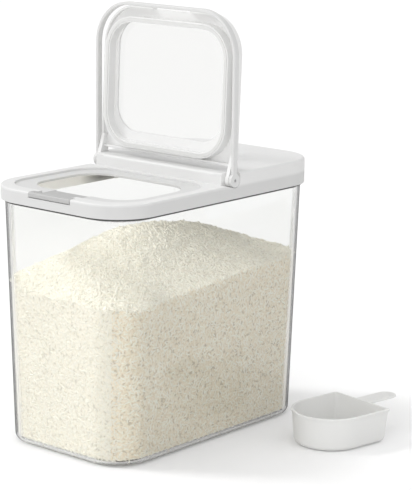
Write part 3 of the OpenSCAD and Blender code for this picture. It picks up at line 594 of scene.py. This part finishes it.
def scatter_tree():
    """Geometry Nodes: lays grains on a surface, each with its own turn, tilt, size, depth and tone."""
    tree = bpy.data.node_groups.new("Scatter grains", "GeometryNodeTree")
    face = tree.interface
    face.new_socket("Geometry", in_out="INPUT", socket_type="NodeSocketGeometry")
    face.new_socket("Grain", in_out="INPUT", socket_type="NodeSocketObject")
    face.new_socket("Spacing", in_out="INPUT", socket_type="NodeSocketFloat")
    face.new_socket("Tilt", in_out="INPUT", socket_type="NodeSocketFloat")
    face.new_socket("Sink", in_out="INPUT", socket_type="NodeSocketFloat")
    face.new_socket("Low tone", in_out="INPUT", socket_type="NodeSocketFloat")
    face.new_socket("Seed", in_out="INPUT", socket_type="NodeSocketInt")
    face.new_socket("Material", in_out="INPUT", socket_type="NodeSocketMaterial")
    face.new_socket("Geometry", in_out="OUTPUT", socket_type="NodeSocketGeometry")
    new, link = tree.nodes.new, tree.links.new
    given, made = new("NodeGroupInput"), new("NodeGroupOutput")

    points = new("GeometryNodeDistributePointsOnFaces")
    points.distribute_method = "POISSON"
    link(given.outputs["Geometry"], points.inputs["Mesh"])
    link(given.outputs["Spacing"], points.inputs["Distance Min"])
    points.inputs["Density Max"].default_value = 600000.0
    link(given.outputs["Seed"], points.inputs["Seed"])

    def random(kind, low, high, number):
        n = new("FunctionNodeRandomValue")
        n.data_type = kind
        slot = {"FLOAT": 2, "FLOAT_VECTOR": 0}[kind]
        for offset, value in ((0, low), (1, high)):
            socket = n.inputs[slot + offset]
            if isinstance(value, bpy.types.NodeSocket):
                link(value, socket)
            else:
                socket.default_value = value
        add = new("ShaderNodeMath")
        add.inputs[1].default_value = number
        link(given.outputs["Seed"], add.inputs[0])
        link(add.outputs[0], n.inputs["Seed"])
        return n.outputs[{"FLOAT": 1, "FLOAT_VECTOR": 0}[kind]]

    def minus(socket):
        n = new("ShaderNodeMath")
        n.operation = "MULTIPLY"
        n.inputs[1].default_value = -1.0
        link(socket, n.inputs[0])
        return n.outputs[0]

    tilt = given.outputs["Tilt"]
    euler = new("ShaderNodeCombineXYZ")
    link(random("FLOAT", -3.14, 3.14, 1), euler.inputs["X"])
    link(random("FLOAT", minus(tilt), tilt, 2), euler.inputs["Y"])
    link(random("FLOAT", -3.14159, 3.14159, 3), euler.inputs["Z"])
    spin = new("FunctionNodeEulerToRotation")
    link(euler.outputs[0], spin.inputs[0])
    turn = new("FunctionNodeRotateRotation")
    turn.rotation_space = "LOCAL"
    link(points.outputs["Rotation"], turn.inputs[0])
    link(spin.outputs[0], turn.inputs[1])

    drop = new("ShaderNodeVectorMath")
    drop.operation = "SCALE"
    link(points.outputs["Normal"], drop.inputs[0])
    link(random("FLOAT", minus(given.outputs["Sink"]), -0.0004, 4), drop.inputs["Scale"])
    moved = new("GeometryNodeSetPosition")
    link(points.outputs["Points"], moved.inputs["Geometry"])
    link(drop.outputs[0], moved.inputs["Offset"])

    grain = new("GeometryNodeObjectInfo")
    link(given.outputs["Grain"], grain.inputs["Object"])
    laid = new("GeometryNodeInstanceOnPoints")
    link(moved.outputs[0], laid.inputs["Points"])
    link(grain.outputs["Geometry"], laid.inputs["Instance"])
    link(turn.outputs[0], laid.inputs["Rotation"])
    link(random("FLOAT_VECTOR", (0.78, 0.85, 0.85), (1.12, 1.1, 1.1), 5), laid.inputs["Scale"])

    tone = new("GeometryNodeStoreNamedAttribute")
    tone.data_type = "FLOAT"
    tone.domain = "INSTANCE"
    tone.inputs["Name"].default_value = "tone"
    link(laid.outputs[0], tone.inputs["Geometry"])
    link(random("FLOAT", given.outputs["Low tone"], 1.0, 6), tone.inputs["Value"])
    real = new("GeometryNodeRealizeInstances")
    link(tone.outputs[0], real.inputs[0])
    paint = new("GeometryNodeSetMaterial")
    link(real.outputs[0], paint.inputs["Geometry"])
    link(given.outputs["Material"], paint.inputs["Material"])
    link(paint.outputs[0], made.inputs[0])
    return tree


def scatter(surface, name, tree, values):
    """Plain mesh of the grains that the tree lays on a surface."""
    m = surface.modifiers.new("Grains", "NODES")
    m.node_group = tree
    for item in tree.interface.items_tree:
        if item.in_out == "INPUT" and item.name in values:
            m[item.identifier] = values[item.name]
    return plain_copy(surface, name)


class RICEBIN_OT_rice(bpy.types.Operator):
    """Heap of rice with its outer grains"""

    bl_idname = "ricebin.rice"
    bl_label = "Rice"

    def execute(self, context):
        s, tub = context.scene.rice_rice, context.scene.rice_tub
        light, shade = tuple(s.light), tuple(s.shade)
        material = rice_material("rice_grains", light, shade)
        # Lit and shaded copies of the grain material: the right side's grains are painted darker and warmer
        # as shade, the front and left ones duller to hold back their light, and the top ones a little duller.
        right_shade_grains = rice_material("rice_grains_right_shade", (1.0, 0.98, 0.86), scaled(shade, (1.0, 0.96, 0.88)))
        front_left_dimmed_grains = rice_material("rice_grains_front_dimmed", scaled(light, (0.93, 0.915, 0.88)), shade)
        soft = rice_material("rice_grains_top_dimmed", scaled(light, (0.97, 0.96, 0.92)), shade)
        dressing = {"rice_right": right_shade_grains, "rice_front": front_left_dimmed_grains, "rice_left": front_left_dimmed_grains, "rice_top": soft}
        bm = rice_bed(s, tub)
        grain = grain_mesh(s.grain_length, s.grain_width)
        tree = scatter_tree()
        # Each side's low tone also paints shade: the right side's grains reach down to the darkest tone, and
        # the left side's stay lightest.
        sides = {
            "rice_front": (0.4, lambda c, n: n.z < 0.25 and n.y < -0.7),
            "rice_rear": (0.3, lambda c, n: n.z < 0.25 and n.y > 0.7),
            "rice_right": (0.1, lambda c, n: abs(n.z) < 0.25 and abs(n.y) <= 0.7 and n.x > 0),
            "rice_left": (0.55, lambda c, n: abs(n.z) < 0.25 and abs(n.y) <= 0.7 and n.x < 0),
            "rice_top": (0.3, lambda c, n: n.z >= 0.25),
        }
        for i, (name, (tone, wanted)) in enumerate(sides.items()):
            top = name == "rice_top"
            values = {
                "Grain": grain, "Spacing": s.spacing, "Tilt": 0.55 if top else 0.12, "Low tone": tone,
                "Sink": 0.0006 if top else 0.0009, "Seed": s.seed + 10 * i,
                "Material": dressing.get(name, material),
            }
            piece = scatter(patch(bm, wanted), name, tree, values)
            piece.data.shade_smooth()
            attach(piece, "bin")
        bpy.data.objects.remove(grain)
        # Painted shade: faces turned down get a near-black bed as the shade under the heap, and faces turned
        # right get a darker, warmer bed as the shaded side.
        for f in bm.faces:
            under = f.normal.z < -0.3
            right = f.normal.x > 0.5 and f.normal.z < 0.25
            f.material_index = 1 if under else 2 if right else 0
        pale = bed_material("rice_bed", (0.95, 0.92, 0.815), (0.9, 0.85, 0.71), 0.8)
        bed = finished("rice_bed", bm, pale, 60)
        foot = bed_material("rice_underside_shade", (0.3, 0.27, 0.22), (0.16, 0.14, 0.11), 1.0)
        shaded_flank = bed_material("rice_bed_right_shade", (0.97, 0.91, 0.76), (0.86, 0.76, 0.58), 0.75)
        bed.data.materials.append(foot)
        bed.data.materials.append(shaded_flank)
        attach(bed, "bin")
        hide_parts("rice_fill")
        return {"FINISHED"}


# ---- lid, flip lid, handle and latch ----------------------------------------


class RICEBIN_OT_lid(bpy.types.Operator):
    """White lid, flip lid, handle, latch and their small parts"""

    bl_idname = "ricebin.lid"
    bl_label = "Lid"

    def execute(self, context):
        c = context.scene.rice_lid
        white = tuple(c.white)
        plain = moulded_plastic("white_moulding", white, c.gloss, through=c.through)
        # Painted shade: the handle's white is 0.9 of the lid's, a darker copy of the same moulding.
        dress(["handle"], moulded_plastic("handle_moulding_painted_shade", scaled(white, 0.9), c.gloss, through=c.through))
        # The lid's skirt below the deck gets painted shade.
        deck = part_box("lid_shell")[0].z + c.deck_rise
        dress(["lid_shell"], moulded_plastic("lid_moulding", white, c.gloss, through=c.through, skirt=deck))
        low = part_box("lid_liner")[0].z
        # Painted light: the liner's white is 1.3 times the lid's, to lighten its shaded inner faces;
        # liner_plastic adds painted shade.
        liner = liner_plastic("liner_moulding_painted_light_and_shade", scaled(white, 1.3), c.gloss, low + 0.0007, c.hinge)
        dress(["lid_liner"], liner)
        rib = bmesh.new()
        bmesh.ops.create_cube(rib, size=1.0)
        middle = Vector(c.rib_place) + Vector((0, 0, low))
        place = Matrix.Translation(middle) @ Matrix.Diagonal((*c.rib_size, 1.0))
        bmesh.ops.transform(rib, matrix=place, verts=rib.verts)
        bmesh.ops.bevel(rib, geom=rib.edges[:], offset=0.0004, segments=2, affect="EDGES")
        rib = finished("lid_rib", rib, plain)
        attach(rib, "lid")
        # Painted light: the flip lid frame's white is 1.09 times the lid's, a lighter copy of the same
        # moulding.
        dress(["flip_lid_frame"], moulded_plastic("flip_moulding_painted_light", scaled(white, 1.09), c.gloss, through=0.3))
        dress(["latch_button"], moulded_plastic("grey_moulding", tuple(c.grey), 0.38))
        dress(["lid_gasket", "flip_lid_gasket"], moulded_plastic("silicone", tuple(c.seal), 0.6))
        dress(["hinge_pin_left", "hinge_pin_right", "latch_spring_left", "latch_spring_right"],
              pin_steel("drawn_steel"))
        dress(["flip_lid_window"], clear_plastic("clear_window", (0.99, 0.99, 0.99), 4.0, 0.6))
        return {"FINISHED"}


# ---- scoop ------------------------------------------------------------------


def d_loop(s, inset, z, grow=0.0):
    """D outline of the scoop's bowl: half round at -X, two small corners at +X."""
    r = s.width / 2 - inset + grow
    back = s.length / 2 - inset + grow
    mid = -s.length / 2 + s.width / 2
    c = s.corner
    points = []
    for cy, start in ((-r + c, -90), (r - c, 0)):
        for i in range(7):
            a = math.radians(start + 15 * i)
            points.append(Vector((back - c + c * math.cos(a), cy + c * math.sin(a), z)))
    for i in range(33):
        a = math.radians(90 + 180 * i / 32)
        points.append(Vector((mid + r * math.cos(a), r * math.sin(a), z)))
    return points


class RICEBIN_OT_scoop(bpy.types.Operator):
    """D-shaped measuring scoop with its flat grip"""

    bl_idname = "ricebin.scoop"
    bl_label = "Scoop"

    def execute(self, context):
        s = context.scene.rice_scoop
        h, floor = s.height, 0.0018
        edge, inner_edge = 0.005, 0.0044
        lip, out, soft = 0.002, 0.0009, 0.0003
        steps = [math.radians(90 * i / 5) for i in range(6)]

        def wall(z):
            return s.draft * (1 - z / h)

        rings = []
        for a in steps:
            z = edge * (1 - math.cos(a))
            rings.append(d_loop(s, wall(z) + edge * (1 - math.sin(a)), z))
        rings += [d_loop(s, wall(h - lip), h - lip)]
        rings += [d_loop(s, 0, h - lip, out - soft), d_loop(s, 0, h - lip + soft, out),
                  d_loop(s, 0, h - 0.0004, out), d_loop(s, 0, h, out - 0.0004)]
        rings += [d_loop(s, s.wall - soft, h), d_loop(s, s.wall, h - soft)]
        for a in reversed(steps):
            z = floor + inner_edge * (1 - math.cos(a))
            rings.append(d_loop(s, s.wall + wall(z) + inner_edge * (1 - math.sin(a)), z))
        bm = loft(rings)
        half, r, top = s.grip_width / 2, s.grip_width / 2, h
        outline = [Vector((s.length / 2 - 0.001, -half, 0)), *[
            Vector((s.length / 2 + s.grip_length - r + r * math.cos(a), r * math.sin(a), 0))
            for a in [math.radians(-90 + 180 * i / 24) for i in range(25)]
        ], Vector((s.length / 2 - 0.001, half, 0))]
        centre = Vector((s.length / 2 + s.grip_length / 2, 0, 0))

        def grip_ring(inset, z):
            shrink = 1 - inset / 0.016
            ends = [p.x if p.x < s.length / 2 else centre.x + (p.x - centre.x) * shrink for p in outline]
            return [Vector((x, p.y * (1 - inset / half), z)) for x, p in zip(ends, outline)]

        b = 0.0005
        grip = loft([grip_ring(b, top - s.grip_height), grip_ring(0, top - s.grip_height + b),
                     grip_ring(0, top - b), grip_ring(b, top - 0.00002)])
        other = bpy.data.meshes.new("grip")
        grip.to_mesh(other)
        grip.free()
        bm.from_mesh(other)
        place = Matrix.Translation((s.x, s.y, 0)) @ Matrix.Rotation(s.turn, 4, "Z")
        bmesh.ops.transform(bm, matrix=place, verts=bm.verts)
        scoop = finished("scoop_moulding", bm, moulded_plastic("scoop_plastic", tuple(s.colour), 0.36))
        flatten_shading(scoop)
        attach(scoop, "scoop")
        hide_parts("scoop")
        return {"FINISHED"}


# ---- studio -----------------------------------------------------------------


class RICEBIN_OT_studio(bpy.types.Operator):
    """Pale floor, soft light and the camera"""

    bl_idname = "ricebin.studio"
    bl_label = "Studio"

    def execute(self, context):
        scene, s = context.scene, context.scene.rice_studio
        bm = bmesh.new()
        bmesh.ops.create_circle(bm, cap_ends=True, segments=64, radius=14.0)
        bmesh.ops.translate(bm, vec=(0, 0, -0.0003), verts=bm.verts)
        pale, beyond = (0.86, 0.86, 0.86), (0.75, 0.75, 0.74)
        material = floor_material("pale_floor", pale, beyond, s.lift, s.lift_through)
        floor = finished("floor", bm, material)

        world = bpy.data.worlds.new("sky")
        scene.world = world
        world.use_nodes = True
        tree, light = world.node_tree, world.node_tree.nodes["Background"]
        light.inputs["Color"].default_value = (1.0, 1.0, 1.0, 1.0)
        place, split = tree.nodes.new("ShaderNodeTexCoord"), tree.nodes.new("ShaderNodeSeparateXYZ")
        grade = tree.nodes.new("ShaderNodeMapRange")
        grade.inputs["To Min"].default_value = 0.7 * s.sky
        grade.inputs["To Max"].default_value = 1.3 * s.sky
        tree.links.new(place.outputs["Generated"], split.inputs[0])
        tree.links.new(split.outputs["Z"], grade.inputs["Value"])
        tree.links.new(grade.outputs[0], light.inputs["Strength"])

        sun = bpy.data.lights.new("key", "SUN")
        sun.energy, sun.angle = s.key, math.radians(14)
        key = bpy.data.objects.new("key", sun)
        key.rotation_euler = Vector((0.645, 0.37, -0.67)).to_track_quat("-Z", "Y").to_euler()
        scene.collection.objects.link(key)
        for name, power, place in (("fill", s.fill, (0.9, -2.0, 0.8)), ("side", s.side, (2.4, 0.2, 0.8))):
            lamp = bpy.data.lights.new(name, "AREA")
            lamp.shape = "RECTANGLE"
            lamp.size, lamp.size_y, lamp.energy = 1.6, 1.2, power
            stand = bpy.data.objects.new(name, lamp)
            stand.location = place
            toward = Vector((0.0, 0.0, 0.15)) - stand.location
            stand.rotation_euler = toward.to_track_quat("-Z", "Y").to_euler()
            scene.collection.objects.link(stand)

        camera = bpy.data.cameras.new("camera")
        camera.sensor_width = 36.0
        camera.sensor_fit = "AUTO"
        camera.lens = s.lens
        camera.clip_end = 50.0
        view = bpy.data.objects.new("camera", camera)
        stand_point = (1.2881, -1.4363, 0.6104)
        yaw, down, roll = 0.7056, 0.2181, 0.0118
        forward = Vector((-math.sin(yaw) * math.cos(down), math.cos(yaw) * math.cos(down), -math.sin(down)))
        side = Vector((math.cos(yaw), math.sin(yaw), 0))
        up = side.cross(forward)
        right = math.cos(roll) * side + math.sin(roll) * up
        upward = -math.sin(roll) * side + math.cos(roll) * up
        turn = Matrix((right, upward, -forward)).transposed().to_4x4()
        view.matrix_world = Matrix.Translation(stand_point) @ turn
        scene.collection.objects.link(view)
        scene.camera = view
        scene.view_settings.view_transform = "Standard"
        return {"FINISHED"}


class RICEBIN_PT_sidebar(bpy.types.Panel):
    """Sizes, colours and the pieces in the order that they are made"""

    bl_label = "Rice Bin"
    bl_idname = "RICEBIN_PT_sidebar"
    bl_space_type = "VIEW_3D"
    bl_region_type = "UI"
    bl_category = "Rice Bin"

    def draw(self, context):
        for title, group, operator in SECTIONS:
            box = self.layout.box()
            box.label(text=title)
            settings = getattr(context.scene, group)
            for name in settings.__annotations__:
                box.prop(settings, name)
            box.operator(operator)


SECTIONS = (
    ("Studio", "rice_studio", "ricebin.studio"),
    ("Tub", "rice_tub", "ricebin.tub"),
    ("Rice", "rice_rice", "ricebin.rice"),
    ("Lid", "rice_lid", "ricebin.lid"),
    ("Scoop", "rice_scoop", "ricebin.scoop"),
)
GROUPS = {
    "rice_studio": StudioSizes,
    "rice_tub": TubSizes,
    "rice_rice": RiceSizes,
    "rice_lid": LidColours,
    "rice_scoop": ScoopSizes,
}
CLASSES = (
    *GROUPS.values(), RICEBIN_OT_studio, RICEBIN_OT_tub, RICEBIN_OT_rice, RICEBIN_OT_lid,
    RICEBIN_OT_scoop, RICEBIN_PT_sidebar,
)


def register():
    for c in CLASSES:
        bpy.utils.register_class(c)
    for name, group in GROUPS.items():
        setattr(bpy.types.Scene, name, PointerProperty(type=group))


def unregister():
    for name in GROUPS:
        delattr(bpy.types.Scene, name)
    for c in reversed(CLASSES):
        bpy.utils.unregister_class(c)


def main():
    register()
    bpy.ops.ricebin.studio()
    bpy.ops.ricebin.tub()
    bpy.ops.ricebin.rice()
    bpy.ops.ricebin.lid()
    bpy.ops.ricebin.scoop()


if __name__ == "__main__":
    main()
